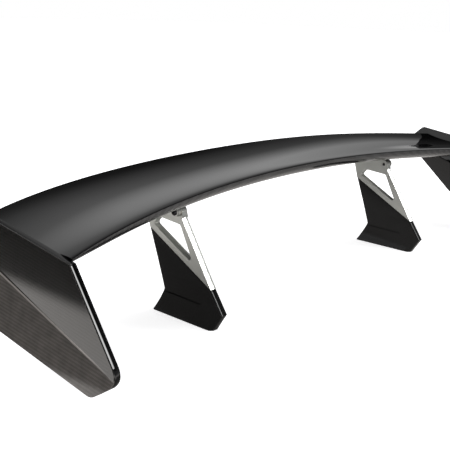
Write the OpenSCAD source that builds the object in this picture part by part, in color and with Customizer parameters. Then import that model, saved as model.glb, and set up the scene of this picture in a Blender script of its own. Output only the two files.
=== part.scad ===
// Racing rear wing: a bowed, hollow blade with end plates on two tilting uprights.
// +X is the left end, -Y is the leading edge, +Z is up. Z = 0 is the mounting face, and the
// origin is the centre of the four bolts that hold the two feet.

/* [Wing blade] */
// Width over the outer skins of the end plates at their top edges
span_w = 1510; // [1300:10:1700]
// Leading edge joint line at mid span, from the bolt centre
le_y = -6; // [-16:1:4]
// How far the leading edge runs forward towards the ends
le_sweep = 143; // [60:1:170]
// Height of the leading edge joint line at mid span
le_z = 262; // [258:1:275]
// How far the leading edge drops towards the ends
le_drop = 27.4; // [10:0.1:30]
// Trailing edge at mid span, from the bolt centre
te_y = 198; // [180:1:230]
// How far the trailing edge runs forward towards the ends
te_sweep = 112; // [60:1:120]
// Height of the trailing edge at mid span
te_z = 281; // [275:1:300]
// How far the trailing edge drops towards the ends
te_drop = 30.3; // [10:0.1:34]
// Depth of the belly below the chord line
belly_depth = 30; // [26:0.5:32]
// Part of the belly depth that is lost at the ends
belly_taper = 0.55; // [0:0.05:0.6]
// Height of the crown of the upper skin above the chord line
crown_h = 3; // [1:0.5:6]
// Part of the chord over which the crown rises
crown_rise = 0.03; // [0.02:0.01:0.08]
// Depth of the hollow of the upper skin behind its crown
hollow_depth = 10; // [4:0.5:11]
// How much deeper the hollow is towards the trailing edge
hollow_lean = 0.5; // [0:0.05:0.6]
// Thickness of the upper and lower skins
skin_t = 2; // [1.5:0.1:2.4]
// Glue line between the skins and what they cover
bond_gap = 0.4; // [0.2:0.05:0.5]

/* [Spars and ribs] */
// Place of the front spar along the chord
front_spar_at = 0.24; // [0.2:0.01:0.26]
// Place of the rear spar along the chord
rear_spar_at = 0.72; // [0.7:0.01:0.78]
// Wall of the spars
spar_wall = 1.6; // [1:0.1:2.5]
// Width of the spar flanges along the chord
spar_flange = 0.045; // [0.03:0.005:0.05]
// Thickness of the plain ribs
rib_t = 4; // [2:0.5:6]
// Thickness of the ribs that carry the hanger plates
hinge_rib_t = 8; // [6:0.5:9]
// Plain ribs stand this far from mid span
plain_rib_x = 190; // [120:5:260]

/* [End plates] */
// Thickness of an end plate
plate_t = 12.5; // [10:0.5:16]
// Thickness of the outer skin of an end plate
plate_skin_t = 2.5; // [1.5:0.25:3]
// Floor of the inner shell of an end plate
plate_floor_t = 2.5; // [1.5:0.25:3]
// Solid rim of the inner shell of an end plate
plate_rim = 9; // [6:0.5:14]
// Outward lean of the lower facet, as a slope
plate_flare = 0.2; // [0:0.01:0.3]

/* [Uprights] */
// Distance between the middle planes of the uprights
mount_spacing = 745; // [600:5:900]
// Thickness of the bracket plate
bracket_t = 15; // [12:0.5:18]
// Thickness of the bracket tongue inside the foot cover
tongue_t = 8; // [7:0.5:10]
// Height of the ridge along the middle of the window wall and of the front edge
ridge_h = 2.7; // [1:0.1:3.5]
// Width of the foot cover along its upper part
cover_w = 17; // [15.5:0.5:20]
// Width of the foot cover at the mounting face
cover_base_w = 28; // [26:1:36]
// Clearance between the bracket and the foot cover
cover_gap = 0.3; // [0.2:0.05:0.5]
// Thickness of the gasket under a foot
gasket_t = 1.5; // [1:0.5:3]

/* [Feet] */
// Width of the base plate
base_w = 20; // [18:1:21]
// Length of the base plate
base_l = 120; // [110:1:122]
// Thickness of the base plate
base_t = 8; // [6:0.5:10]
// Distance between the two mounting bolts of a foot
foot_bolt_spacing = 88; // [80:1:96]
// Diameter of the threaded mounting holes
foot_bolt_d = 6; // [5:1:8]

/* [Tilt joint] */
// Pivot bolt behind the bolt centre
pivot_y = 13; // [10:1:16]
// Pivot bolt above the mounting face
pivot_z = 215; // [212:1:216]
// Diameter of the pivot bolts
pivot_d = 8; // [6:1:8]
// Radius of the ears around the bolts
ear_r = 10.5; // [9.5:0.5:11]
// Distance from the pivot bolt to the clamp bolt
clamp_arm = 79; // [76:1:80]
// Diameter of the clamp bolts
clamp_d = 6; // [5:1:6]
// How far the trailing edge can be raised, in degrees
tilt_range = 12; // [4:1:14]
// Thickness of the hanger plates
hanger_t = 6; // [5:0.5:8]
// Radial running clearance of the pivot bolt in its bush
run_gap = 0.05; // [0.02:0.01:0.1]
// Gap between faces that slide past each other
slide_gap = 0.3; // [0.2:0.05:0.5]
// Clearance around fixed screws
screw_gap = 0.1; // [0.05:0.05:0.3]

/* [Hidden] */
$fn = 48;

half_span = span_w / 2;
rib_end_x = half_span - plate_t - 2;
upright_x = mount_spacing / 2;
skin_x = half_span - plate_t;
stations = 32;
station_gap = 2 * skin_x / stations;
section_points = 18;
function station_x(i) = -skin_x + i * station_gap;

// --- vectors and outlines ---------------------------------------------------------------

function unit(v) = v / norm(v);

// Points of the arc that rounds corner b between its neighbours a and c
function corner_arc(a, b, c, r, n) =
    let (u = unit(a - b), v = unit(c - b), half = acos(u * v) / 2,
         centre = b + unit(u + v) * r / sin(half),
         p = b + u * r / tan(half) - centre, q = b + v * r / tan(half) - centre,
         start = atan2(p[1], p[0]), turn = (atan2(q[1], q[0]) - start + 540) % 360 - 180)
    [for (i = [0:n]) centre + r * [cos(start + turn * i / n), sin(start + turn * i / n)]];

// Outline with every corner rounded to its own radius
function rounded(pts, radii, n = 6) =
    let (m = len(pts))
    [for (i = [0:m - 1]) each corner_arc(pts[(i + m - 1) % m], pts[i], pts[(i + 1) % m], radii[i], n)];

// Where the lines through p (direction u) and q (direction v) cross
function crossing(p, u, q, v) =
    p + u * ((q[0] - p[0]) * v[1] - (q[1] - p[1]) * v[0]) / (u[0] * v[1] - u[1] * v[0]);

// Clockwise outline moved inwards by d
function inset(pts, d) =
    let (m = len(pts), dir = [for (i = [0:m - 1]) unit(pts[(i + 1) % m] - pts[i])],
         base = [for (i = [0:m - 1]) pts[i] + d * [dir[i][1], -dir[i][0]]])
    [for (i = [0:m - 1]) let (k = (i + m - 1) % m) crossing(base[k], dir[k], base[i], dir[i])];

// Extrudes a (y, z) outline along +X from x0
module along_x(x0, t) {
    translate([x0, 0, 0]) rotate([90, 0, 90]) linear_extrude(t) children();
}

// Cylinder along +X from x0
module rod_x(x0, l, r, y, z) {
    translate([x0, y, z]) rotate([0, 90, 0]) cylinder(h = l, r = r);
}

// --- lofted solids ----------------------------------------------------------------------

// A solid through closed rings. Each ring is a strip: its first half runs along one side
// and its second half comes back along the other.
module loft(rings) {
    m = len(rings[0]);
    last = len(rings) - 1;
    sides = [for (i = [0:last - 1], j = [0:m - 1])
        let (a = i * m + j, b = i * m + (j + 1) % m, c = a + m, d = b + m)
        each [[a, b, d], [a, d, c]]];
    start = [for (j = [0:m / 2 - 2]) let (k = m - 1 - j) each [[j, k, k - 1], [j, k - 1, j + 1]]];
    end = [for (f = start) [f[0] + last * m, f[2] + last * m, f[1] + last * m]];
    polyhedron([for (ring = rings) each ring], concat(sides, start, end), convexity = 6);
}

// --- blade surface ----------------------------------------------------------------------

// Share of a bow at span ratio u: a mixes a round bow with one that bends late
function bow(u, a) = a * u * u + (1 - a) * pow(u, 4);

function edge_front(x) =
    let (u = x / half_span) [le_y - le_sweep * bow(u, 0.8), le_z - le_drop * bow(u, 1.15)];
function edge_rear(x) =
    let (u = x / half_span) [te_y - te_sweep * bow(u, 0.1), te_z - te_drop * bow(u, 1.45)];

// Half thickness of a classic wing section, scaled to a largest value of 1
function section(s) =
    10 * (0.2969 * sqrt(s) - 0.126 * s - 0.3516 * s * s + 0.2843 * pow(s, 3) - 0.1036 * pow(s, 4));

function belly(x) = belly_depth * (1 - belly_taper * pow(abs(x) / half_span, 12));

// Depth of the long hollow of the upper skin at chord place s
function dip(s) = hollow_depth * 4 * s * (1 - s) * (1 + hollow_lean * (2 * s - 1));

// Point of the blade's outside at span x and root-chord parameter q (s = q * q)
function outside(x, q, top) =
    let (f = edge_front(x), r = edge_rear(x), s = q * q,
         h = top ? crown_h * (1 - s) * s / (s + crown_rise) - dip(s)
                 : -belly(x) * section(s) - (2 * skin_t + bond_gap) * s - dip(s) * s * s)
    [f[0] + (r[0] - f[0]) * s, f[1] + (r[1] - f[1]) * s + h];

// The same point moved inwards by d
function inside(x, q, top, d) =
    let (e = 0.004, a = outside(x, max(q - e, 0), top), b = outside(x, min(q + e, 1), top),
         t = q < e ? [0, top ? 1 : -1] : unit(b - a), side = top ? 1 : -1)
    outside(x, q, top) + d * side * [t[1], -t[0]];

// The same point on the straight run between the two stations next to span x
function hollow(x, q, top, d) =
    let (i = min(floor((x + skin_x) / station_gap), stations - 1), t = (x - station_x(i)) / station_gap)
    (1 - t) * inside(station_x(i), q, top, d) + t * inside(station_x(i + 1), q, top, d);

function place(x, p) = [x, p[0], p[1]];

// Root-chord parameter moved back, to keep the upper skin's inner face clear of the lower skin
lead_q = sqrt((skin_t + bond_gap) / (te_y - le_y));
function set_back(q) = q == 0 ? 0 : lead_q + (1 - lead_q) * q;

// Skin between the inner faces of the end plates
module skin(top) {
    q = [for (j = [0:section_points - 1]) j / (section_points - 1)];
    rings = [for (i = [0:stations]) let (x = station_x(i)) concat(
        [for (v = q) place(x, outside(x, v, top))],
        [for (j = [len(q) - 1:-1:0]) place(x, inside(x, top ? set_back(q[j]) : q[j], top, skin_t))])];
    if (top) loft(rings);
    else loft([for (i = [stations:-1:0]) rings[i]]);
}

// Ring of the blade's hollow between chord places s0 and s1 at span x
function hollow_ring(x, s0, s1, n = 8) =
    let (d = skin_t + bond_gap, q = [for (j = [0:n]) sqrt(s0) + (sqrt(s1) - sqrt(s0)) * j / n])
    concat([for (v = q) place(x, hollow(x, v, true, d))],
           [for (j = [n:-1:0]) place(x, hollow(x, q[j], false, d))]);

// Rib that fills the hollow from span x0 to x1
module rib(x0, x1, s0, s1) {
    loft([hollow_ring(x0, s0, s1), hollow_ring(x1, s0, s1)]);
}

// C-shaped spar with its web at chord place s and its flanges towards s2
module spar(s, s2) {
    x1 = rib_end_x - rib_t - bond_gap;
    d = skin_t + bond_gap;
    w = spar_wall * sign(s2 - s);
    ring = function (x)
        let (a = hollow(x, sqrt(s2), true, d), b = hollow(x, sqrt(s), true, d),
             c = hollow(x, sqrt(s), false, d), e = hollow(x, sqrt(s2), false, d))
        [for (p = [a, b, c, e, e + [0, spar_wall], c + [w, spar_wall], b + [w, -spar_wall],
                   a + [0, -spar_wall]]) place(x, p)];
    rings = [for (x = concat([-x1], [for (i = [1:stations - 1]) station_x(i)], [x1])) ring(x)];
    if (s2 > s) loft([for (i = [stations:-1:0]) rings[i]]);
    else loft(rings);
}

rib_front = front_spar_at + spar_flange + 0.01;
rib_rear = rear_spar_at - spar_flange - 0.01;

// --- end plate --------------------------------------------------------------------------

// Corners in (y, z), clockwise from the top rear apex
plate_corners = [[112, 268], [162, 224], [14, 86], [-208, 48], [-257, 83.2], [-151, 231.5]];
plate_radii = [3, 6, 6, 22, 24, 6];
corner_steps = 7;
plate_line = rounded(plate_corners, plate_radii, corner_steps);

// Middle of the arc at corner i: the crease runs from the rear corner to the front corner
function corner_middle(i) =
    let (k = i * (corner_steps + 1) + (corner_steps - 1) / 2) (plate_line[k] + plate_line[k + 1]) / 2;
crease_rear = corner_middle(1);
crease_front = corner_middle(4);
crease_dir = crease_front - crease_rear;

// How far (y, z) lies below the crease
function below_crease(p) =
    crease_rear[1] + crease_dir[1] * (p[0] - crease_rear[0]) / crease_dir[0] - p[1];

// Outer face of the end plate at (y, z): upright above the crease, leaning outwards below
function plate_x(p) = half_span + plate_flare * max(0, below_crease(p));

// Outline with a point added at each place where it crosses the crease
function split_at_crease(line) =
    let (m = len(line))
    [for (i = [0:m - 1]) let (a = line[i], b = line[(i + 1) % m],
                              u = below_crease(a), v = below_crease(b))
        each u * v < 0 ? [a, a + (b - a) * u / (u - v)] : [a]];

// Layer of the end plate between depths t0 and t1 below its outer face
module plate_layer(outline, t0, t1) {
    line = split_at_crease(outline);
    m = len(line);
    tops = [for (i = [0:m - 1]) if (abs(below_crease(line[i])) < 1e-6) i];
    outer = [for (p = line) place(plate_x(p) - t0, p)];
    inner = [for (p = line) place(plate_x(p) - t1, p)];
    fan = function (first, count) [for (k = [1:count - 2])
        [first, (first + k) % m, (first + k + 1) % m]];
    faces = concat(fan(tops[0], tops[1] - tops[0] + 1), fan(tops[1], m - tops[1] + tops[0] + 1));
    back = [for (f = faces) [f[0] + m, f[2] + m, f[1] + m]];
    rim = [for (i = [0:m - 1]) let (k = (i + 1) % m) each [[i, i + m, k + m], [i, k + m, k]]];
    polyhedron(concat(outer, inner), concat(faces, back, rim), convexity = 4);
}

function plate_inset(d) =
    rounded(inset(plate_corners, d), [for (r = plate_radii) max(r - d, 1)], corner_steps);

module plate_skin() {
    plate_layer(plate_line, 0, plate_skin_t);
}

module plate_shell() {
    difference() {
        plate_layer(plate_line, plate_skin_t, plate_t);
        plate_layer(plate_inset(plate_rim), plate_skin_t - 1, plate_t - plate_floor_t);
    }
}

module plate_core() {
    plate_layer(plate_inset(plate_rim + bond_gap), plate_skin_t + bond_gap,
                plate_t - plate_floor_t - bond_gap);
}

// --- tilt joint -------------------------------------------------------------------------

bracket_x1 = upright_x + bracket_t / 2;
bush_flange_t = 1;
bush_wall = 1;
hanger_x0 = bracket_x1 + slide_gap + bush_flange_t;
hanger_x1 = hanger_x0 + hanger_t;
washer_x0 = hanger_x1 + slide_gap;
clamp_angle = -2;
clamp_y = pivot_y + clamp_arm * cos(clamp_angle);
clamp_z = pivot_z + clamp_arm * sin(clamp_angle);
slot_gap = 0.3;
slot_r = clamp_d / 2 + slot_gap;
bolt_tail = 1.5;

// Outline of the hanger plate: an ear at the pivot, a slotted heel, and a tang in the blade
tang_y0 = 37;
tang_y1 = 104;
tang_z = 250.5;
heel_z = pivot_z - clamp_arm * sin(tilt_range - clamp_angle) - slot_r - 6;
module hanger_outline() {
    nose_y = pivot_y - ear_r;
    nose_r = ear_r - 0.7;
    polygon(rounded([[nose_y, pivot_z + ear_r], [tang_y0, pivot_z + ear_r], [tang_y0, tang_z],
                     [tang_y1, tang_z], [tang_y1, heel_z + 3], [clamp_y - 12, heel_z],
                     [pivot_y + 22, pivot_z - ear_r + 2], [nose_y, pivot_z - ear_r]],
                    [nose_r, 1, 3, 3, 5, 5, 10, nose_r]));
}

// Points on a circle around c from angle a0 to angle a1
function arc(c, r, a0, a1, n) =
    [for (i = [0:n]) let (a = a0 + (a1 - a0) * i / n) c + r * [cos(a), sin(a)]];

// Curved slot around the pivot for the clamp bolt
module arc_slot_outline() {
    pivot = [pivot_y, pivot_z];
    low = clamp_angle - tilt_range;
    low_end = pivot + clamp_arm * [cos(low), sin(low)];
    polygon(concat(
        arc(pivot, clamp_arm + slot_r, low, clamp_angle, 12),
        arc([clamp_y, clamp_z], slot_r, clamp_angle + 15, clamp_angle + 165, 10),
        arc(pivot, clamp_arm - slot_r, clamp_angle, low, 12),
        arc(low_end, slot_r, low + 195, low + 345, 10)));
}

hanger_bolt_d = 5;
hanger_bolt_y = [tang_y0 + 12, tang_y1 - 14];
hanger_bolt_z = 244.5;
hanger_head_h = 3;
nut_h = 4;

module hanger() {
    difference() {
        along_x(hanger_x0, hanger_t) difference() {
            hanger_outline();
            arc_slot_outline();
        }
        rod_x(hanger_x0 - 1, hanger_t + 2, pivot_d / 2 + run_gap + bush_wall, pivot_y, pivot_z);
        for (y = hanger_bolt_y)
            rod_x(hanger_x0 - 1, hanger_t + 2, hanger_bolt_d / 2 + screw_gap, y, hanger_bolt_z);
    }
}

module pivot_bush() {
    bore = pivot_d / 2 + run_gap;
    difference() {
        union() {
            rod_x(hanger_x0, hanger_t, bore + bush_wall, pivot_y, pivot_z);
            rod_x(hanger_x0 - bush_flange_t, bush_flange_t, ear_r - 1, pivot_y, pivot_z);
        }
        rod_x(hanger_x0 - 2, hanger_t + 4, bore, pivot_y, pivot_z);
    }
}

module hinge_rib() {
    x0 = hanger_x0 - hinge_rib_t;
    difference() {
        rib(x0, hanger_x0, rib_front, rib_rear);
        for (y = hanger_bolt_y)
            rod_x(x0 - 5, hinge_rib_t + 10, hanger_bolt_d / 2 + screw_gap, y, hanger_bolt_z);
    }
}

module hanger_bolts() {
    for (y = hanger_bolt_y) {
        rod_x(hanger_x0 - hinge_rib_t - nut_h - 1, hinge_rib_t + nut_h + 1 + hanger_t,
              hanger_bolt_d / 2, y, hanger_bolt_z);
        rod_x(hanger_x1, hanger_head_h, hanger_bolt_d * 0.85, y, hanger_bolt_z);
    }
}

module hanger_nuts() {
    x0 = hanger_x0 - hinge_rib_t - nut_h;
    for (y = hanger_bolt_y) difference() {
        translate([x0, y, hanger_bolt_z]) rotate([0, 90, 0])
            cylinder(h = nut_h, r = hanger_bolt_d * 0.92, $fn = 6);
        rod_x(x0 - 1, nut_h + 2, hanger_bolt_d / 2 + screw_gap, y, hanger_bolt_z);
    }
}

washer_t = 1.5;

module washer(d, r_out, y, z) {
    difference() {
        rod_x(washer_x0, washer_t, r_out, y, z);
        rod_x(washer_x0 - 1, washer_t + 2, d / 2 + screw_gap, y, z);
    }
}

// Button head bolt with a hexagon socket, threaded into the bracket
module joint_bolt(d, y, z) {
    head_x = washer_x0 + washer_t;
    head_h = d * 0.55;
    tip_x = bracket_x1 - bracket_t + bolt_tail;
    difference() {
        union() {
            rod_x(tip_x, head_x - tip_x, d / 2, y, z);
            translate([head_x, y, z]) rotate([0, 90, 0]) intersection() {
                cylinder(h = head_h, r = d * 0.875);
                translate([0, 0, head_h - d * 1.1]) sphere(r = d * 1.1);
            }
        }
        translate([head_x + head_h * 0.35, y, z]) rotate([0, 90, 0])
            cylinder(h = head_h, r = d * 0.36, $fn = 6);
    }
}

// --- bracket and foot -------------------------------------------------------------------

// Joint between bracket and cover: it rises from the front edge to the rear edge
cover_front = [-78, 79.5];
cover_rear = [90, 169];
cover_dir = unit(cover_rear - cover_front);
cover_up = [-cover_dir[1], cover_dir[0]];
front_knee = [pivot_y - ear_r - 1, 203];
front_dir = unit(front_knee - cover_front);
front_out = [-front_dir[1], front_dir[0]];
window_corners = [[-31.4, 118.3], [5.5, 190], [66, 195], [81, 178]];
window_radii = [5, 7, 7, 5];

module bracket_plate() {
    along_x(upright_x - bracket_t / 2, bracket_t) {
        translate([pivot_y, pivot_z]) circle(r = ear_r);
        translate([clamp_y, clamp_z]) circle(r = ear_r);
        polygon([cover_front, cover_front + ridge_h * front_out, front_knee + ridge_h * front_out,
                 [pivot_y - ear_r, pivot_z], [pivot_y, pivot_z + ear_r],
                 [clamp_y, clamp_z + ear_r], [clamp_y + ear_r, clamp_z], cover_rear]);
    }
}

ridge_slope = ridge_h / (bracket_t / 2);

// Room of the window: it widens from the ridge at mid thickness towards both faces
module window_room() {
    side = bracket_t / 2 + 1;
    ring = function (x) let (d = ridge_h - ridge_slope * abs(x))
        [for (p = rounded(inset(window_corners, d), [for (r = window_radii) r - d]))
            place(upright_x + x, p)];
    loft([ring(-side), ring(0), ring(side)]);
}

// Room in front of the front edge: it leaves a ridge at mid thickness
module front_room() {
    side = bracket_t / 2 + 1;
    multmatrix([[1, 0, 0, upright_x],
                [0, front_out[0], -front_dir[0], front_knee[0]],
                [0, front_out[1], -front_dir[1], front_knee[1]]])
        linear_extrude(norm(front_knee - cover_front) + 2 * ridge_h)
            polygon([[0, ridge_h], [side, ridge_h - ridge_slope * side], [side, 2 * ridge_h],
                     [-side, 2 * ridge_h], [-side, ridge_h - ridge_slope * side]]);
}

base_z = gasket_t;
tongue_z = base_z + base_t;
tongue_foot = 28;
function tongue_line(grow) =
    let (a = cover_front + 8 * cover_dir + 2 * cover_up, b = cover_rear - 9 * cover_dir + 2 * cover_up,
         foot = tongue_foot + grow)
    [a - grow * cover_dir, b + grow * cover_dir,
     [42 + grow, 52], [foot, 34], [foot, tongue_z - grow], [-foot, tongue_z - grow],
     [-foot, 24 - grow], [-70 - grow, 42 - grow]];

base_screw_y = 14;
base_screw_d = 5;
base_screw_l = 20;

module bracket() {
    difference() {
        union() {
            difference() {
                bracket_plate();
                window_room();
                front_room();
            }
            along_x(upright_x - tongue_t / 2, tongue_t) polygon(tongue_line(0));
        }
        rod_x(upright_x - bracket_t, 2 * bracket_t, pivot_d / 2 + screw_gap, pivot_y, pivot_z);
        rod_x(upright_x - bracket_t, 2 * bracket_t, clamp_d / 2 + screw_gap, clamp_y, clamp_z);
        for (y = [-base_screw_y, base_screw_y]) translate([upright_x, y, tongue_z - 1])
            cylinder(h = base_screw_l + 1, r = base_screw_d / 2 + screw_gap);
    }
}

// Foot cover outline at height z, as a strip ring from the rear to the prow
waist_z = 51;
toe_z = 36;
function cover_y_rear(z) = z < waist_z ? 47.5 + 28 * pow(1 - z / waist_z, 1.12)
                                       : 47.5 + 42.5 * pow((z - waist_z) / 118, 1.05);
function cover_y_front(z) = z < toe_z ? -86 - 23 * z / toe_z : -109 + 0.705 * (z - toe_z);
function cover_half(z) =
    cover_w / 2 + (cover_base_w - cover_w) / 2 * pow(max(0, 1 - z / 46), 2);
function prow(z) = 3 + 18 * pow(max(0, 1 - z / toe_z), 1.3);
function cover_side(z, d = 0) =
    let (r = cover_y_rear(z) - d, f = cover_y_front(z) + d, w = cover_half(z) - d, p = prow(z))
    [[r, w - 3], [r - 0.9, w - 0.9], [r - 3, w], [f + p, w], [f + p * 0.3, w - 1],
     [f, w - 2.5 - p * 0.25]];
function cover_ring(z, d = 0) =
    let (side = cover_side(z, d), m = len(side))
    concat([for (p = side) [upright_x + p[1], p[0], z]],
           [for (i = [m - 1:-1:0]) [upright_x - side[i][1], side[i][0], z]]);
cover_levels = [gasket_t, 5, 9, 14, 19, 24, 30, 36, 43, 51, 62, 80, 105, 135, 160, 175];
groove_front = [-50, 46.5];
groove_rear = [43, 46];
groove_d = 2;

module foot_cover() {
    difference() {
        loft([for (z = cover_levels) cover_ring(z)]);
        // sloping top that meets the bracket
        along_x(upright_x - cover_base_w, 2 * cover_base_w) polygon([
            cover_front - 60 * cover_dir - cover_gap * cover_up,
            cover_rear + 60 * cover_dir - cover_gap * cover_up,
            cover_rear + 60 * cover_dir + 150 * cover_up, cover_front - 60 * cover_dir + 150 * cover_up]);
        // room for the tongue and the base plate
        along_x(upright_x - tongue_t / 2 - cover_gap, tongue_t + 2 * cover_gap)
            polygon(tongue_line(cover_gap * 2));
        translate([upright_x - base_w / 2 - cover_gap, -base_l / 2 - cover_gap, 0])
            cube([base_w + 2 * cover_gap, base_l + 2 * cover_gap, tongue_z + cover_gap]);
        for (y = [-foot_bolt_spacing / 2, foot_bolt_spacing / 2]) translate([upright_x, y, 0])
            cylinder(h = tongue_z + 12, r = foot_bolt_d / 2 + 1);
        for (y = cover_screw_y) translate([upright_x, y, 0])
            cylinder(h = cover_screw_l + 2, r = cover_screw_d / 2 + screw_gap);
        // finger-wide groove along both sides
        for (s = [-1, 1]) hull() {
            for (g = [[groove_front, 3.6], [groove_rear, 0.9]])
                rod_x(upright_x + s * (cover_w / 2 + 3) - 3 - groove_d + (s < 0 ? 2 * groove_d : 0),
                      6, g[1], g[0][0], g[0][1]);
        }
    }
}

cover_screw_y = [-70, 66];
cover_screw_d = 3;
cover_screw_l = 12;

module foot_holes(h) {
    for (y = [-foot_bolt_spacing / 2, foot_bolt_spacing / 2]) translate([upright_x, y, -1])
        cylinder(h = h + 2, r = foot_bolt_d / 2);
}

module base_plate() {
    difference() {
        translate([upright_x - base_w / 2, -base_l / 2, base_z]) cube([base_w, base_l, base_t]);
        foot_holes(tongue_z);
        for (y = [-base_screw_y, base_screw_y]) translate([upright_x, y, base_z]) {
            translate([0, 0, -1]) cylinder(h = base_t + 2, r = base_screw_d / 2 + screw_gap);
            translate([0, 0, -1]) cylinder(h = 4 + 1 + screw_gap, r = base_screw_d * 0.9 + screw_gap);
        }
    }
}

module base_screws() {
    for (y = [-base_screw_y, base_screw_y]) translate([upright_x, y, base_z]) difference() {
        union() {
            cylinder(h = base_t + base_screw_l - 2, r = base_screw_d / 2);
            cylinder(h = 4, r = base_screw_d * 0.9);
        }
        translate([0, 0, -1]) cylinder(h = 3, r = base_screw_d * 0.4, $fn = 6);
    }
}

gasket_inset = 0.4;

module gasket() {
    side = cover_side(gasket_t, gasket_inset);
    difference() {
        linear_extrude(gasket_t) translate([upright_x, 0])
            polygon(concat([for (p = side) [p[1], p[0]]],
                           [for (i = [len(side) - 1:-1:0]) [-side[i][1], side[i][0]]]));
        foot_holes(gasket_t);
        for (y = cover_screw_y) translate([upright_x, y, -1])
            cylinder(h = gasket_t + 2, r = cover_screw_d + screw_gap);
    }
}

module cover_screws() {
    for (y = cover_screw_y) translate([upright_x, y, 0]) difference() {
        union() {
            translate([0, 0, gasket_t - 1]) cylinder(h = cover_screw_l - gasket_t + 1, r = cover_screw_d / 2);
            translate([0, 0, 0.2]) cylinder(h = gasket_t - 0.3, r = cover_screw_d);
        }
        translate([0, 0, -1]) cylinder(h = 1.8, r = 1, $fn = 6);
    }
}

// --- nodes ------------------------------------------------------------------------------

module right() { mirror([1, 0, 0]) children(); }

module upper_skin() { color([0.03, 0.03, 0.035]) skin(true); }
module lower_skin() {
    color([0.12, 0.12, 0.13]) difference() {
        skin(false);
        for (s = [0, 1]) mirror([s, 0, 0])
            translate([hanger_x0 - slide_gap, tang_y0 - 1, pivot_z])
                cube([hanger_t + 2 * slide_gap, tang_y1 - tang_y0 + 2, tang_z - pivot_z]);
    }
}
module front_spar() { color([0.2, 0.2, 0.2]) spar(front_spar_at, front_spar_at + spar_flange); }
module rear_spar() { color([0.2, 0.2, 0.2]) spar(rear_spar_at, rear_spar_at - spar_flange); }
module plain_ribs() {
    color([0.25, 0.25, 0.25]) for (x = [-plain_rib_x, plain_rib_x])
        rib(x - rib_t / 2, x + rib_t / 2, rib_front, rib_rear);
}
module hinge_rib_left() { color([0.6, 0.6, 0.62]) hinge_rib(); }
module hinge_rib_right() { right() hinge_rib_left(); }
module end_rib_left() { color([0.25, 0.25, 0.25]) rib(rib_end_x - rib_t, rib_end_x, 0.07, 0.9); }
module end_rib_right() { right() end_rib_left(); }
module plate_skin_left() { color([0.17, 0.15, 0.14]) plate_skin(); }
module plate_skin_right() { right() plate_skin_left(); }
module plate_shell_left() { color([0.03, 0.03, 0.03]) plate_shell(); }
module plate_shell_right() { right() plate_shell_left(); }
module plate_core_left() { color([0.85, 0.82, 0.7]) plate_core(); }
module plate_core_right() { right() plate_core_left(); }
module hanger_left() { color([0.7, 0.7, 0.7]) hanger(); }
module hanger_right() { right() hanger_left(); }
module pivot_bush_left() { color([0.75, 0.62, 0.3]) pivot_bush(); }
module pivot_bush_right() { right() pivot_bush_left(); }
module hanger_bolts_left() { color([0.3, 0.3, 0.3]) hanger_bolts(); }
module hanger_bolts_right() { right() hanger_bolts_left(); }
module hanger_nuts_left() { color([0.6, 0.6, 0.6]) hanger_nuts(); }
module hanger_nuts_right() { right() hanger_nuts_left(); }
module bracket_left() { color([0.72, 0.73, 0.71]) bracket(); }
module bracket_right() { right() bracket_left(); }
module foot_cover_left() { color([0.05, 0.05, 0.05]) foot_cover(); }
module foot_cover_right() { right() foot_cover_left(); }
module base_plate_left() { color([0.55, 0.55, 0.56]) base_plate(); }
module base_plate_right() { right() base_plate_left(); }
module gasket_left() { color([0.06, 0.06, 0.06]) gasket(); }
module gasket_right() { right() gasket_left(); }
module base_screws_left() { color([0.4, 0.4, 0.4]) base_screws(); }
module base_screws_right() { right() base_screws_left(); }
module cover_screws_left() { color([0.2, 0.2, 0.2]) cover_screws(); }
module cover_screws_right() { right() cover_screws_left(); }
module pivot_bolt_left() { color([0.25, 0.25, 0.25]) joint_bolt(pivot_d, pivot_y, pivot_z); }
module pivot_bolt_right() { right() pivot_bolt_left(); }
module pivot_washer_left() { color([0.8, 0.8, 0.8]) washer(pivot_d, ear_r - 1, pivot_y, pivot_z); }
module pivot_washer_right() { right() pivot_washer_left(); }
module clamp_bolt_left() { color([0.25, 0.25, 0.25]) joint_bolt(clamp_d, clamp_y, clamp_z); }
module clamp_bolt_right() { right() clamp_bolt_left(); }
module clamp_washer_left() { color([0.8, 0.8, 0.8]) washer(clamp_d, clamp_d, clamp_y, clamp_z); }
module clamp_washer_right() { right() clamp_washer_left(); }

upper_skin();
lower_skin();
front_spar();
rear_spar();
plain_ribs();
hinge_rib_left();
hinge_rib_right();
end_rib_left();
end_rib_right();
plate_skin_left();
plate_skin_right();
plate_shell_left();
plate_shell_right();
plate_core_left();
plate_core_right();
hanger_left();
hanger_right();
pivot_bush_left();
pivot_bush_right();
hanger_bolts_left();
hanger_bolts_right();
hanger_nuts_left();
hanger_nuts_right();
bracket_left();
bracket_right();
foot_cover_left();
foot_cover_right();
base_plate_left();
base_plate_right();
gasket_left();
gasket_right();
base_screws_left();
base_screws_right();
cover_screws_left();
cover_screws_right();
pivot_bolt_left();
pivot_bolt_right();
pivot_washer_left();
pivot_washer_right();
clamp_bolt_left();
clamp_bolt_right();
clamp_washer_left();
clamp_washer_right();
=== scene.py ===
"""Looks of a racing rear wing: a bowed carbon blade with end plates on two tilting uprights.

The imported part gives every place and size. This script lays the smooth skins, end plates and
foot covers over it, breaks the edges of the machined pieces, and dresses each piece in its finish.
"""

from __future__ import annotations

import logging
import math
from dataclasses import dataclass, field
from enum import Enum
from typing import Iterable, Sequence

import bmesh
import bpy
import numpy as np
from mathutils import Matrix, Vector


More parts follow.
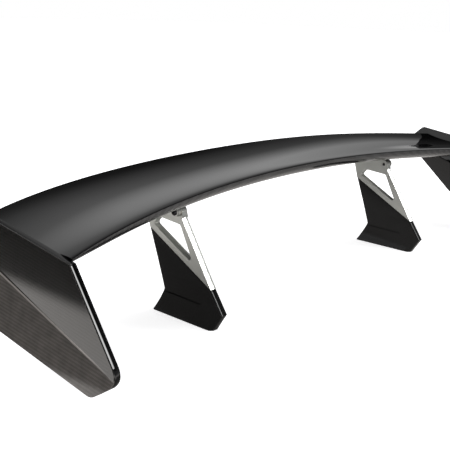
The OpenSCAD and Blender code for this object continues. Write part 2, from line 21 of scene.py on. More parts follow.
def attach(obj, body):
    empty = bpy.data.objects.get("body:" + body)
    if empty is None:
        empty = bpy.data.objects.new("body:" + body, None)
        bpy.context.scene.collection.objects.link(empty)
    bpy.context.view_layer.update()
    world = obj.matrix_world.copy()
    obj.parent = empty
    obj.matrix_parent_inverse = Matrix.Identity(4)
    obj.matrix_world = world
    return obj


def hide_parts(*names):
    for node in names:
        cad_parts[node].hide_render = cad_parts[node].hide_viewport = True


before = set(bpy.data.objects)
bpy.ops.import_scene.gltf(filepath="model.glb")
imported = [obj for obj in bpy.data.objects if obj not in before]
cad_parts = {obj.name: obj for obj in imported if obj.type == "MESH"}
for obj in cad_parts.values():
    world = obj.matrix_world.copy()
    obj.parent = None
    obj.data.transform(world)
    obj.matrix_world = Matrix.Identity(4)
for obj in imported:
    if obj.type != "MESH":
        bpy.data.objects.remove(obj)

log = logging.getLogger("rear_wing")

MM = 0.001
WHITE = (1.0, 1.0, 1.0, 1.0)
# Share of a soft band's width that each of its ends takes, on either side
BAND_SOFTNESS = 0.12
# Tow width of the blade's cloth, in metres
BLADE_TOW = 2.0 * MM
# Faces within FLAT_ANGLE are one flat face; on machined pieces, edges steeper than the other two
# stay sharp and are broken, in degrees
FLAT_ANGLE, MACHINED_SHARP, MACHINED_BREAK = 0.4, 30.0, 40.0
# Points closer than this are one point
SAME_POINT = 0.002 * MM
# Rear and front end of the end plate's crease in (y, z), in metres
CREASE = ((0.1589, 0.2168), (-0.2491, 0.0846))
Point2 = tuple[float, float]
Point3 = tuple[float, float, float]


class Side(Enum):
    """The two ends of the wing."""

    LEFT = 1
    RIGHT = -1

    @property
    def tag(self) -> str:
        """Ending of this side's node names."""
        return self.name.lower()


class Body(Enum):
    """The bodies that the tilt joint joins."""

    UPRIGHTS = "uprights"
    BLADE = "blade"


class Plane(Enum):
    """Plane that a woven cloth lies in, as the two axes its tows run along."""

    PLAN = ("X", "Y")
    PROFILE = ("Y", "Z")


# --- material bench -------------------------------------------------------------------------


class Bench:
    """A node tree, with short calls for the nodes that the finishes and the studio use."""

    def __init__(self, tree: bpy.types.NodeTree) -> None:
        """Empties the tree.

        Args:
            tree: Node tree to build on.
        """
        self.tree = tree
        self.tree.nodes.clear()

    def put(self, value: object, socket: bpy.types.NodeSocket) -> None:
        """Links an output to a socket, or sets a constant on it.

        Args:
            value: Output socket, number or colour.
            socket: Input that takes it.
        """
        if isinstance(value, bpy.types.NodeSocket):
            self.tree.links.new(value, socket)
        else:
            socket.default_value = value

    def math(self, operation: str, a: object, b: object = 0.0, c: object = 0.0) -> bpy.types.NodeSocket:
        """Adds a math node.

        Args:
            operation: Blender's name of the operation.
            a: First value.
            b: Second value.
            c: Third value.

        Returns:
            The result.
        """
        node = self.tree.nodes.new("ShaderNodeMath")
        node.operation = operation
        for value, socket in zip((a, b, c), node.inputs):
            self.put(value, socket)
        return node.outputs[0]

    def place(self) -> dict[str, bpy.types.NodeSocket]:
        """Reads the point on the piece.

        Returns:
            Its X, Y and Z in metres, and the whole point as P.
        """
        where = self.tree.nodes.new("ShaderNodeTexCoord").outputs["Object"]
        split = self.tree.nodes.new("ShaderNodeSeparateXYZ")
        self.tree.links.new(where, split.inputs[0])
        return {"X": split.outputs[0], "Y": split.outputs[1], "Z": split.outputs[2], "P": where}

    def stretched(self, where: bpy.types.NodeSocket, scale: Point3) -> bpy.types.NodeSocket:
        """Point scaled along each axis.

        Args:
            where: The point.
            scale: Factor along X, Y and Z.

        Returns:
            The scaled point.
        """
        node = self.tree.nodes.new("ShaderNodeMapping")
        self.tree.links.new(where, node.inputs["Vector"])
        node.inputs["Scale"].default_value = scale
        return node.outputs[0]

    def noise(self, where: bpy.types.NodeSocket, scale: float, detail: float = 2.0) -> bpy.types.NodeSocket:
        """Soft noise from 0 to 1.

        Args:
            where: Point to sample at.
            scale: Cells in a metre.
            detail: Octaves.

        Returns:
            The noise.
        """
        node = self.tree.nodes.new("ShaderNodeTexNoise")
        self.tree.links.new(where, node.inputs["Vector"])
        node.inputs["Scale"].default_value = scale
        node.inputs["Detail"].default_value = detail
        return node.outputs["Fac"]

    def ramp(self, value: object, stops: Sequence[tuple[float, tuple[float, ...]]]) -> bpy.types.NodeSocket:
        """Colour ramp.

        Args:
            value: Place along the ramp, from 0 to 1.
            stops: Pairs of place and colour.

        Returns:
            The colour.
        """
        node = self.tree.nodes.new("ShaderNodeValToRGB")
        self.put(value, node.inputs[0])
        edges = node.color_ramp.elements
        while len(edges) < len(stops):
            edges.new(0.5)
        for edge, (at, colour) in zip(edges, stops):
            edge.position = at
            edge.color = (*colour, 1.0)
        return node.outputs[0]

    def spread(self, value: object, low: float, high: float) -> bpy.types.NodeSocket:
        """Value from 0..1 stretched to low..high."""
        return self.math("MULTIPLY_ADD", value, high - low, low)

    def fade(self, value: object, low: float, high: float) -> bpy.types.NodeSocket:
        """Smooth step.

        Args:
            value: The value.
            low: Where the result is 0.
            high: Where the result is 1, which may be below low.

        Returns:
            The result, from 0 to 1.
        """
        node = self.tree.nodes.new("ShaderNodeMapRange")
        node.interpolation_type = "SMOOTHSTEP"
        self.put(value, node.inputs["Value"])
        node.inputs["From Min"].default_value = low
        node.inputs["From Max"].default_value = high
        return node.outputs[0]

    def band(self, value: object, low: float, high: float) -> bpy.types.NodeSocket:
        """Band with soft ends.

        Args:
            value: The value.
            low: Start of the band.
            high: End of the band.

        Returns:
            1 inside the band and 0 outside it.
        """
        soft = BAND_SOFTNESS * (high - low)
        return self.math("MULTIPLY", self.fade(value, low - soft, low + soft),
                         self.fade(value, high + soft, high - soft))

    def bump(self, height: object, depth: float, strength: float = 1.0) -> bpy.types.NodeSocket:
        """Relief from a height.

        Args:
            height: Height from 0 to 1.
            depth: What a height of 1 measures, in metres.
            strength: Share of the relief that shows.

        Returns:
            The normal.
        """
        node = self.tree.nodes.new("ShaderNodeBump")
        node.inputs["Distance"].default_value = depth
        node.inputs["Strength"].default_value = strength
        self.put(height, node.inputs["Height"])
        return node.outputs[0]

    def mixed(self, share: object, a: object, b: object, blend: str = "MIX") -> bpy.types.NodeSocket:
        """Mixes two colours.

        Args:
            share: Share of the second colour, from 0 to 1.
            a: First colour.
            b: Second colour.
            blend: Blender's name of the blend.

        Returns:
            The mixed colour.
        """
        node = self.tree.nodes.new("ShaderNodeMix")
        node.data_type = "RGBA"
        node.blend_type = blend
        for value, place in zip((share, a, b), MIX_COLOUR_INPUTS):
            self.put(value, node.inputs[place])
        return node.outputs[MIX_COLOUR_OUTPUT]


class MaterialBench(Bench):
    """Node tree of one material, around one surface shader."""

    def __init__(self, name: str) -> None:
        """Starts a material with an empty tree.

        Args:
            name: Name of the material.
        """
        self.material = bpy.data.materials.new(name)
        self.material.use_nodes = True
        super().__init__(self.material.node_tree)
        self.shader = self.tree.nodes.new("ShaderNodeBsdfPrincipled")
        self.output = self.tree.nodes.new("ShaderNodeOutputMaterial")
        self.put(self.shader.outputs[0], self.output.inputs[0])

    def finish(self, **sockets: object) -> bpy.types.Material:
        """Sets the shader's sockets.

        Args:
            sockets: Short socket name and its value.

        Returns:
            The finished material.
        """
        for name, value in sockets.items():
            self.put(value, self.shader.inputs[SOCKETS[name]])
        return self.material


SOCKETS = {
    "base": "Base Color", "metallic": "Metallic", "roughness": "Roughness", "normal": "Normal",
    "specular": "Specular IOR Level", "coat": "Coat Weight", "coat_roughness": "Coat Roughness",
    "coat_normal": "Coat Normal", "emission": "Emission Color", "emission_strength": "Emission Strength",
}
# Places of the factor, first colour and second colour in a mix node that mixes colours, and of its result
MIX_COLOUR_INPUTS = (0, 6, 7)
MIX_COLOUR_OUTPUT = 2


# --- finishes -------------------------------------------------------------------------------


@dataclass(frozen=True)
class DeepLacquer:
    """Black lacquer, flatted and polished over laminate, with a faint cloth deep under it."""

    name: str = "gloss_black_lacquer"
    base: Point3 = (0.0012, 0.0012, 0.0013)
    roughness: float = 0.5
    coat_roughness: float = 0.03

    def make(self) -> bpy.types.Material:
        """Makes the material.

        Returns:
            The material.
        """
        bench = MaterialBench(self.name)
        at = bench.place()
        cloth = twill(bench, at["X"], at["Y"], BLADE_TOW)
        tone = bench.ramp(cloth, [(0.0, self.base), (1.0, tuple(1.8 * c for c in self.base))])
        flow = bench.noise(at["P"], 35.0)
        return bench.finish(
            base=tone, roughness=self.roughness, coat=1.0, coat_roughness=self.coat_roughness,
            coat_normal=bench.bump(flow, 0.01 * MM), specular=0.0)


@dataclass(frozen=True)
class ClearTwill:
    """Two by two twill cloth under a clear coat. With a crease, the panel above it is darker as painted
    shade, and a painted highlight runs along the crease.
    """

    name: str
    plane: Plane
    warp: Point3
    weft: Point3
    tow: float = BLADE_TOW
    slant: float = 0.0
    coat_roughness: float = 0.06
    crease: tuple[Point2, Point2] | None = None
    # painted shade: share of the cloth colour kept on the panel above the crease
    painted_shade_above: float = 1.0
    # painted highlight along the crease: its colour, its half width, and where it fades out towards the
    # front
    crease_highlight: Point3 = (0.30, 0.275, 0.255)
    crease_highlight_half: float = 1.6 * MM
    crease_highlight_fade: Point2 = (10 * MM, 70 * MM)
    panel_soft: float = 1.5 * MM

    def make(self) -> bpy.types.Material:
        """Makes the material.

        Returns:
            The material.
        """
        bench = MaterialBench(self.name)
        at = bench.place()
        u, v = (at[axis] for axis in self.plane.value)
        c, s = math.cos(self.slant), math.sin(self.slant)
        along = bench.math("ADD", bench.math("MULTIPLY", u, c), bench.math("MULTIPLY", v, s))
        across = bench.math("SUBTRACT", bench.math("MULTIPLY", v, c), bench.math("MULTIPLY", u, s))
        over = twill(bench, along, across, self.tow)
        half_way = tuple(0.5 * (a + b) for a, b in zip(self.warp, self.weft))
        tone = bench.ramp(over, [(0.0, self.weft), (0.5, half_way), (1.0, self.warp)])
        mottle = bench.ramp(bench.noise(at["P"], 60.0, 3.0), [(0.3, (0.8,) * 3), (0.7, (1.1,) * 3)])
        base = bench.mixed(1.0, tone, mottle, "MULTIPLY")
        if self.crease:
            base = self.panels(bench, base, at)
        return bench.finish(
            base=base, roughness=bench.spread(over, 0.5, 0.34), specular=0.12,
            normal=bench.bump(over, 0.06 * MM, 0.5), coat=1.0, coat_roughness=self.coat_roughness)

    def panels(self, bench: Bench, base: bpy.types.NodeSocket,
               at: dict[str, bpy.types.NodeSocket]) -> bpy.types.NodeSocket:
        """Paints shade on the panel above the crease, and a painted highlight along the crease itself.

        Args:
            bench: Bench to build on.
            base: Colour of the cloth.
            at: Point on the piece.

        Returns:
            The colour with both.
        """
        (y0, z0), (y1, z1) = self.crease
        slope = (z1 - z0) / (y1 - y0)
        line = bench.math("MULTIPLY_ADD", at["Y"], slope, z0 - slope * y0)
        below = bench.math("SUBTRACT", line, at["Z"])
        # painted shade: the panel above the crease is darkened
        dark = bench.mixed(1.0, base, (self.painted_shade_above,) * 3 + (1.0,), "MULTIPLY")
        two = bench.mixed(bench.fade(below, -self.panel_soft, self.panel_soft), dark, base)
        near, far = (y1 + reach for reach in self.crease_highlight_fade)
        # painted highlight: a light line along the crease, fading out towards the front
        crease_highlight_share = bench.math("MULTIPLY", bench.band(below, -self.crease_highlight_half, self.crease_highlight_half),
                           bench.fade(at["Y"], near, far))
        return bench.mixed(crease_highlight_share, two, (*self.crease_highlight, 1.0))


def twill(bench: Bench, u: bpy.types.NodeSocket, v: bpy.types.NodeSocket,
          tow: float) -> bpy.types.NodeSocket:
    """Two by two twill: how high and how bright the upper tow is, from 0 for weft to 1 for warp.

    Args:
        bench: Bench to build on.
        u: Metres along the cloth.
        v: Metres across it.
        tow: Width of a tow in metres.

    Returns:
        Value from 0 to 1.
    """
    a = bench.math("DIVIDE", u, tow)
    b = bench.math("DIVIDE", v, tow)
    step = bench.math("ADD", bench.math("FLOOR", a), bench.math("FLOOR", b))
    phase = bench.math("FLOORED_MODULO", step, 4.0)
    warp_up = bench.math("LESS_THAN", phase, 1.5)
    round_a = bench.math("SINE", bench.math("MULTIPLY", bench.math("FRACT", a), math.pi))
    round_b = bench.math("SINE", bench.math("MULTIPLY", bench.math("FRACT", b), math.pi))
    high = bench.math("MULTIPLY", warp_up, bench.spread(round_a, 0.55, 1.0))
    low = bench.math("MULTIPLY", bench.math("SUBTRACT", 1.0, warp_up), bench.spread(round_b, 0.0, 0.3))
    return bench.math("ADD", high, low)


@dataclass(frozen=True)
class BareLaminate:
    """Cured laminate as it leaves the mould, dull and faintly woven."""

    name: str = "carbon_inner"

    def make(self) -> bpy.types.Material:
        """Makes the material.

        Returns:
            The material.
        """
        bench = MaterialBench(self.name)
        at = bench.place()
        over = twill(bench, at["X"], at["Z"], BLADE_TOW)
        tone = bench.ramp(over, [(0.0, (0.018, 0.018, 0.019)), (1.0, (0.045, 0.045, 0.047))])
        return bench.finish(base=tone, roughness=0.6, normal=bench.bump(over, 0.1 * MM, 0.6))


@dataclass(frozen=True)
class BrushedAluminium:
    """Milled aluminium with fine brush lines."""

    name: str = "milled_aluminium"
    base: Point3 = (0.60, 0.61, 0.58)
    roughness: tuple[float, float] = (0.26, 0.4)

    def make(self) -> bpy.types.Material:
        """Makes the material.

        Returns:
            The material.
        """
        bench = MaterialBench(self.name)
        at = bench.place()
        lines = bench.noise(bench.stretched(at["P"], (900.0, 60.0, 2600.0)), 1.0, 3.0)
        cloud = bench.noise(at["P"], 28.0, 3.0)
        tone = bench.ramp(cloud, [(0.25, tuple(0.93 * c for c in self.base)), (0.75, self.base)])
        return bench.finish(
            base=tone, metallic=0.85, roughness=bench.spread(lines, *self.roughness),
            normal=bench.bump(lines, 0.02 * MM, 0.6))


@dataclass(frozen=True)
class TurnedMetal:
    """A turned or formed metal: steel, plated steel or bronze."""

    name: str
    base: Point3
    roughness: tuple[float, float] = (0.22, 0.38)

    def make(self) -> bpy.types.Material:
        """Makes the material.

        Returns:
            The material.
        """
        bench = MaterialBench(self.name)
        at = bench.place()
        wear = bench.noise(at["P"], 900.0, 3.0)
        turning = bench.stretched(at["P"], (4000.0, 500.0, 500.0))
        tone = bench.ramp(wear, [(0.3, tuple(0.8 * c for c in self.base)), (0.7, self.base)])
        return bench.finish(
            base=tone, metallic=1.0, roughness=bench.spread(wear, *self.roughness),
            normal=bench.bump(bench.noise(turning, 1.0), 0.01 * MM))


@dataclass(frozen=True)
class CoreFoam:
    """Closed cell foam."""

    name: str = "foam"

    def make(self) -> bpy.types.Material:
        """Makes the material.

        Returns:
            The material.
        """
        bench = MaterialBench(self.name)
        at = bench.place()
        cells = bench.noise(at["P"], 1400.0, 2.0)
        tone = bench.ramp(cells, [(0.35, (0.55, 0.5, 0.38)), (0.7, (0.78, 0.74, 0.6))])
        return bench.finish(base=tone, roughness=0.9, normal=bench.bump(cells, 0.3 * MM, 0.7))


@dataclass(frozen=True)
class SatinMoulding:
    """Moulded plastic with a fine satin grain."""

    name: str = "satin_black"
    base: Point3 = (0.004, 0.004, 0.0042)
    roughness: tuple[float, float] = (0.13, 0.19)

    def make(self) -> bpy.types.Material:
        """Makes the material.

        Returns:
            The material.
        """
        bench = MaterialBench(self.name)
        at = bench.place()
        grain = bench.noise(at["P"], 1800.0, 2.0)
        cloud = bench.noise(at["P"], 30.0, 2.0)
        tone = bench.ramp(cloud, [(0.3, self.base), (0.7, tuple(1.3 * c for c in self.base))])
        return bench.finish(
            base=tone, roughness=bench.spread(cloud, *self.roughness), specular=0.3,
            normal=bench.bump(grain, 0.004 * MM, 0.4))


@dataclass(frozen=True)
class SoftRubber:
    """Matt closed cell rubber."""

    name: str = "black_rubber"

    def make(self) -> bpy.types.Material:
        """Makes the material.

        Returns:
            The material.
        """
        bench = MaterialBench(self.name)
        at = bench.place()
        cells = bench.noise(at["P"], 1500.0, 3.0)
        tone = bench.ramp(cells, [(0.3, (0.012, 0.012, 0.012)), (0.7, (0.028, 0.028, 0.028))])
        return bench.finish(base=tone, roughness=0.8, normal=bench.bump(cells, 0.08 * MM, 0.6))


@dataclass
class Finishes:
    """Every finish, made once."""

    lacquer: bpy.types.Material = field(default_factory=lambda: DeepLacquer().make())
    nose_twill: bpy.types.Material = field(default_factory=lambda: ClearTwill(
        "carbon_twill_blade", Plane.PLAN, (0.02, 0.02, 0.022), (0.005, 0.005, 0.006),
        slant=math.radians(45)).make())
    # the plate's cloth carries painted shade above its crease and a painted highlight along it
    plate_twill: bpy.types.Material = field(default_factory=lambda: ClearTwill(
        "carbon_twill_plate", Plane.PROFILE, (0.108, 0.098, 0.09), (0.07, 0.0625, 0.057), 1.9 * MM,
        slant=math.radians(52), crease=CREASE, painted_shade_above=0.07).make())
    laminate: bpy.types.Material = field(default_factory=lambda: BareLaminate().make())
    aluminium: bpy.types.Material = field(default_factory=lambda: BrushedAluminium().make())
    dark_steel: bpy.types.Material = field(default_factory=lambda: TurnedMetal(
        "dark_steel", (0.06, 0.06, 0.065)).make())
    bright_steel: bpy.types.Material = field(default_factory=lambda: TurnedMetal(
        "bright_steel", (0.62, 0.62, 0.6)).make())
    bronze: bpy.types.Material = field(default_factory=lambda: TurnedMetal(
        "bronze", (0.5, 0.34, 0.14)).make())
    foam: bpy.types.Material = field(default_factory=lambda: CoreFoam().make())
    satin: bpy.types.Material = field(default_factory=lambda: SatinMoulding().make())
    rubber: bpy.types.Material = field(default_factory=lambda: SoftRubber().make())


# --- mesh bench -----------------------------------------------------------------------------


def new_piece(name: str, vertices: Iterable[Sequence[float]],
              faces: Iterable[Sequence[int]]) -> bpy.types.Object:
    """Makes a mesh object from points in millimetres.

    Args:
        name: Name of the piece.
        vertices: Points in millimetres.
        faces: Corner numbers of each face.

    Returns:
        The piece, with its normals outwards.
    """
    mesh = bpy.data.meshes.new(name)
    mesh.from_pydata([tuple(MM * c for c in p) for p in vertices], [], [tuple(f) for f in faces])
    piece = bpy.data.objects.new(name, mesh)
    bpy.context.scene.collection.objects.link(piece)
    tidy(piece)
    return piece


def tidy(piece: bpy.types.Object) -> None:
    """Joins double points and turns the faces outwards.

    Args:
        piece: The piece.
    """
    work = bmesh.new()
    work.from_mesh(piece.data)
    bmesh.ops.remove_doubles(work, verts=work.verts, dist=SAME_POINT)
    bmesh.ops.recalc_face_normals(work, faces=work.faces)
    work.to_mesh(piece.data)
    work.free()


def shade(piece: bpy.types.Object, angle: float = 32.0) -> None:
    """Shades the piece smooth, with steep edges kept sharp.

    Args:
        piece: The piece.
        angle: Edges steeper than this stay sharp, in degrees.
    """
    mesh = piece.data
    mesh.polygons.foreach_set("use_smooth", [True] * len(mesh.polygons))
    mesh.set_sharp_from_angle(angle=math.radians(angle))
    mesh.update()


def apply_modifiers(piece: bpy.types.Object) -> None:
    """Turns the piece's modifiers into mesh.

    Args:
        piece: The piece.
    """
    view = bpy.context.evaluated_depsgraph_get()
    mesh = bpy.data.meshes.new_from_object(piece.evaluated_get(view))
    piece.modifiers.clear()
    piece.data = mesh


def break_edges(piece: bpy.types.Object, width: float, angle: float = 35.0, segments: int = 2) -> None:
    """Rounds the sharp edges.

    Args:
        piece: The piece.
        width: Width of the round in millimetres.
        angle: Edges steeper than this are rounded, in degrees.
        segments: Facets of the round.
    """
    bevel = piece.modifiers.new("edges", "BEVEL")
    bevel.width = width * MM
    bevel.segments = segments
    bevel.limit_method = "ANGLE"
    bevel.angle_limit = math.radians(angle)
    bevel.harden_normals = True
    bevel.use_clamp_overlap = True
    apply_modifiers(piece)


def cut(piece: bpy.types.Object, *tools: bpy.types.Object) -> None:
    """Cuts the tools' shapes out of the piece and removes the tools.

    Args:
        piece: The piece.
        tools: Solids to cut with.
    """
    for tool in tools:
        knife = piece.modifiers.new("cut", "BOOLEAN")
        knife.operation = "DIFFERENCE"
        knife.solver = "EXACT"
        knife.object = tool
        bpy.context.view_layer.update()
        apply_modifiers(piece)
        bpy.data.objects.remove(tool)


def dress(piece: bpy.types.Object, material: bpy.types.Material) -> bpy.types.Object:
    """Gives a piece its finish.

    Args:
        piece: The piece.
        material: Its finish.

    Returns:
        The piece.
    """
    piece.data.materials.clear()
    piece.data.materials.append(material)
    return piece


def settle(piece: bpy.types.Object, body: Body, *nodes: str) -> bpy.types.Object:
    """Makes a piece ride on a body in the place of CAD nodes.

    Args:
        piece: The piece.
        body: Body that it moves with.
        nodes: CAD nodes that it stands for.

    Returns:
        The piece.
    """
    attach(piece, body.value)
    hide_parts(*nodes)
    log.info("%s: %d faces, for %s", piece.name, len(piece.data.polygons), ", ".join(nodes))
    return piece


def prism(name: str, outline: Sequence[Point2], x0: float, x1: float) -> bpy.types.Object:
    """Makes a straight solid along X, in millimetres.

    Args:
        name: Name of the solid.
        outline: Its outline in (y, z).
        x0: Where it starts.
        x1: Where it ends.

    Returns:
        The solid.
    """
    m = len(outline)
    points = [(x, y, z) for x in (x0, x1) for y, z in outline]
    faces = [tuple(range(m)), tuple(range(2 * m - 1, m - 1, -1))]
    faces += [(i, (i + 1) % m, m + (i + 1) % m, m + i) for i in range(m)]
    return new_piece(name, points, faces)


def mirrored(piece: bpy.types.Object, name: str) -> bpy.types.Object:
    """Copies a left piece for the right end.

    Args:
        piece: The left piece.
        name: Name of the copy.

    Returns:
        The copy.
    """
    mesh = piece.data.copy()
    mesh.name = name
    mesh.transform(Matrix.Scale(-1, 4, (1, 0, 0)))
    mesh.flip_normals()
    copy = bpy.data.objects.new(name, mesh)
    bpy.context.scene.collection.objects.link(copy)
    return copy


def machined(node: str, width: float, name: str) -> bpy.types.Object:
    """Copy of a CAD node with its flat faces whole and its edges broken.

    Args:
        node: Name of the CAD node.
        width: Width of the broken edges in millimetres.
        name: Name of the new piece.

    Returns:
        The piece.
    """
    piece = bpy.data.objects.new(name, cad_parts[node].data.copy())
    piece.data.materials.clear()
    bpy.context.scene.collection.objects.link(piece)
    work = bmesh.new()
    work.from_mesh(piece.data)
    bmesh.ops.remove_doubles(work, verts=work.verts, dist=SAME_POINT)
    bmesh.ops.dissolve_limit(work, angle_limit=math.radians(FLAT_ANGLE), verts=work.verts, edges=work.edges)
    work.to_mesh(piece.data)
    work.free()
    if "custom_normal" in piece.data.attributes:
        piece.data.attributes.remove(piece.data.attributes["custom_normal"])
    shade(piece, MACHINED_SHARP)
    break_edges(piece, width, MACHINED_BREAK)
    return piece


# --- outlines -------------------------------------------------------------------------------


def unit(v: np.ndarray) -> np.ndarray:
    """Vector of length 1."""
    return v / np.linalg.norm(v)


def rounded(corners: Sequence[Point2], radii: Sequence[float], steps: int) -> list[Point2]:
    """Outline with each corner rounded to its own radius.

    Args:
        corners: Corners in order.
        radii: Radius at each corner.
        steps: Segments of each round.

    Returns:
        The points of the outline.
    """
    points: list[Point2] = []
    m = len(corners)
    for i in range(m):
        a, b, c = (np.array(corners[(i + k) % m], float) for k in (-1, 0, 1))
        u, v = unit(a - b), unit(c - b)
        half = math.acos(float(np.clip(u @ v, -1, 1))) / 2
        centre = b + unit(u + v) * radii[i] / math.sin(half)
        p = b + u * radii[i] / math.tan(half) - centre
        q = b + v * radii[i] / math.tan(half) - centre
        start = math.atan2(p[1], p[0])
        turn = (math.atan2(q[1], q[0]) - start + 3 * math.pi) % (2 * math.pi) - math.pi
        for k in range(steps + 1):
            angle = start + turn * k / steps
            points.append(tuple(centre + radii[i] * np.array((math.cos(angle), math.sin(angle)))))
    return points


def inset(corners: Sequence[Point2], d: float) -> list[Point2]:
    """Moves a clockwise outline inwards.

    Args:
        corners: Corners in order.
        d: How far.

    Returns:
        The moved corners.
    """
    m = len(corners)
    pts = [np.array(p, float) for p in corners]
    dirs = [unit(pts[(i + 1) % m] - pts[i]) for i in range(m)]
    base = [pts[i] + d * np.array((dirs[i][1], -dirs[i][0])) for i in range(m)]
    moved: list[Point2] = []
    for i in range(m):
        k = (i + m - 1) % m
        p, u, q, v = base[k], dirs[k], base[i], dirs[i]
        t = ((q[0] - p[0]) * v[1] - (q[1] - p[1]) * v[0]) / (u[0] * v[1] - u[1] * v[0])
        moved.append(tuple(p + t * u))
    return moved


# --- blade ----------------------------------------------------------------------------------


@dataclass(frozen=True)
class BladeForm:
    """Surface of the blade, in millimetres."""

    half_span: float = 755.0
    skin_x: float = 742.5
    front: tuple[float, float, float, float] = (-6.0, 143.0, 262.0, 27.4)
    rear: tuple[float, float, float, float] = (198.0, 112.0, 281.0, 30.3)
    front_bend: Point2 = (0.8, 1.15)
    rear_bend: Point2 = (0.1, 1.45)
    belly_depth: float = 30.0
    belly_taper: float = 0.55
    crown_h: float = 3.0
    crown_rise: float = 0.03
    hollow_depth: float = 10.0
    hollow_lean: float = 0.5
    skin_t: float = 2.0
    bond_gap: float = 0.4

    @staticmethod
    def bow(u: np.ndarray, a: float) -> np.ndarray:
        """Share of a bow at span ratio u."""
        return a * u**2 + (1 - a) * u**4

    def edge(self, x: np.ndarray, numbers: tuple[float, ...],
             bend: Point2) -> tuple[np.ndarray, np.ndarray]:
        """Line of the front or rear edge.

        Args:
            x: Span.
            numbers: Its y at the middle, sweep, z at the middle and drop.
            bend: How round its sweep and its drop are.

        Returns:
            Its y and z at span x.
        """
        u = x / self.half_span
        y0, sweep, z0, drop = numbers
        return y0 - sweep * self.bow(u, bend[0]), z0 - drop * self.bow(u, bend[1])

    @staticmethod
    def section(s: np.ndarray) -> np.ndarray:
        """Half thickness of a classic wing section, with a largest value of 1."""
        return 10 * (0.2969 * np.sqrt(s) - 0.126 * s - 0.3516 * s**2 + 0.2843 * s**3 - 0.1036 * s**4)

    def height(self, x: np.ndarray, s: np.ndarray, upper: bool) -> np.ndarray:
        """Height of the outside above the chord line.

        Args:
            x: Span.
            s: Place along the chord, from 0 to 1.
            upper: True for the upper skin.

        Returns:
            The height.
        """
        dip = self.hollow_depth * 4 * s * (1 - s) * (1 + self.hollow_lean * (2 * s - 1))
        if upper:
            return self.crown_h * (1 - s) * s / (s + self.crown_rise) - dip
        belly = self.belly_depth * (1 - self.belly_taper * np.abs(x / self.half_span) ** 12)
        return -belly * self.section(s) - (2 * self.skin_t + self.bond_gap) * s - dip * s**2

    def surface(self, x: np.ndarray, s: np.ndarray, upper: bool) -> np.ndarray:
        """Points of the outside.

        Args:
            x: Span.
            s: Place along the chord, from 0 to 1.
            upper: True for the upper skin.

        Returns:
            Array of x, y, z.
        """
        fy, fz = self.edge(x, self.front, self.front_bend)
        ry, rz = self.edge(x, self.rear, self.rear_bend)
        h = self.height(x, s, upper)
        return np.stack([x + 0 * s, fy + (ry - fy) * s, fz + (rz - fz) * s + h], axis=-1)


@dataclass
class Blade:
    """The blade's two skins and what they cover."""

    finishes: Finishes
    form: BladeForm = BladeForm()
    span_steps: int = 150
    chord_steps: int = 44
    joint_gap: float = 1.6
    probe: float = 0.004
    hanger_slot: tuple[float, float, float, float] = (381.0, 387.6, 36.0, 105.0)
    slot_z: Point2 = (215.0, 250.5)

    def skin(self, name: str, upper: bool) -> bpy.types.Object:
        """Skin with its thickness, closed all round.

        Args:
            name: Name of the piece.
            upper: True for the upper skin.

        Returns:
            The piece.
        """
        n, m = self.span_steps + 1, self.chord_steps + 1
        stations = np.linspace(-self.form.skin_x, self.form.skin_x, n)
        x, q = np.meshgrid(stations, np.linspace(0, 1, m), indexing="ij")
        s = q**2
        outside = self.form.surface(x, s, upper)
        back = self.form.surface(x, np.maximum(q - self.probe, 0) ** 2, upper)
        ahead = self.form.surface(x, np.minimum(q + self.probe, 1) ** 2, upper)
        run = ahead - back
        run[:, 0, 1:] = (0, 1) if upper else (0, -1)
        run[..., 0] = 0
        run /= np.linalg.norm(run, axis=-1, keepdims=True)
        side = 1 if upper else -1
        inward = np.stack([0 * x, side * run[..., 2], -side * run[..., 1]], axis=-1)
        inner = outside + self.form.skin_t * inward
        if upper:
            outside[:, 0, 1] += self.joint_gap
            inner[:, 0, 1] += self.joint_gap
        points = np.concatenate([outside.reshape(-1, 3), inner.reshape(-1, 3)])
        k = n * m
        faces = []
        for i in range(n - 1):
            for j in range(m - 1):
                a, b, c, d = i * m + j, i * m + j + 1, (i + 1) * m + j + 1, (i + 1) * m + j
                faces += [(a, b, c, d), (k + a, k + d, k + c, k + b)]
            for j in (0, m - 1):
                a, d = i * m + j, (i + 1) * m + j
                faces.append((a, d, k + d, k + a))
        for i in (0, n - 1):
            ends = range(i * m, i * m + m - 1)
            faces += [(j, j + 1, k + j + 1, k + j) for j in ends]
        return new_piece(name, points.tolist(), faces)

    def slot_tool(self, side: Side) -> bpy.types.Object:
        """Tool for the slot that a hanger plate takes in the lower skin.

        Args:
            side: End of the wing.

        Returns:
            The tool.
        """
        x0, x1, y0, y1 = self.hanger_slot
        low, high = self.slot_z
        outline = [(y0, low), (y0, high), (y1, high), (y1, low)]
        ends = sorted((side.value * x0, side.value * x1))
        return prism(f"slot_tool_{side.tag}", outline, *ends)

    def build(self) -> None:
        """Builds and dresses the skins, and dresses the spars and ribs."""
        upper = self.skin("upper_shell", True)
        shade(upper, 40.0)
        break_edges(upper, 0.6, 50.0, 3)
        settle(dress(upper, self.finishes.lacquer), Body.BLADE, "upper_skin")
        lower = self.skin("lower_shell", False)
        cut(lower, *(self.slot_tool(side) for side in Side))
        shade(lower, 40.0)
        break_edges(lower, 0.5, 50.0, 3)
        settle(dress(lower, self.finishes.nose_twill), Body.BLADE, "lower_skin")
        for node in ("front_spar", "rear_spar", "plain_ribs", "end_rib_left", "end_rib_right"):
            dress_node(node, self.finishes.laminate)
        for side in Side:
            dress_node(f"hinge_rib_{side.tag}", self.finishes.aluminium)


def dress_node(node: str, material: bpy.types.Material) -> None:
    """Gives a CAD node its finish.

    Args:
        node: Name of the node.
        material: Its finish.
    """
    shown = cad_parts[node]
    shown.data.materials.clear()
    shown.data.materials.append(material)
    log.info("%s: dressed in %s", node, material.name)


# --- end plates -----------------------------------------------------------------------------


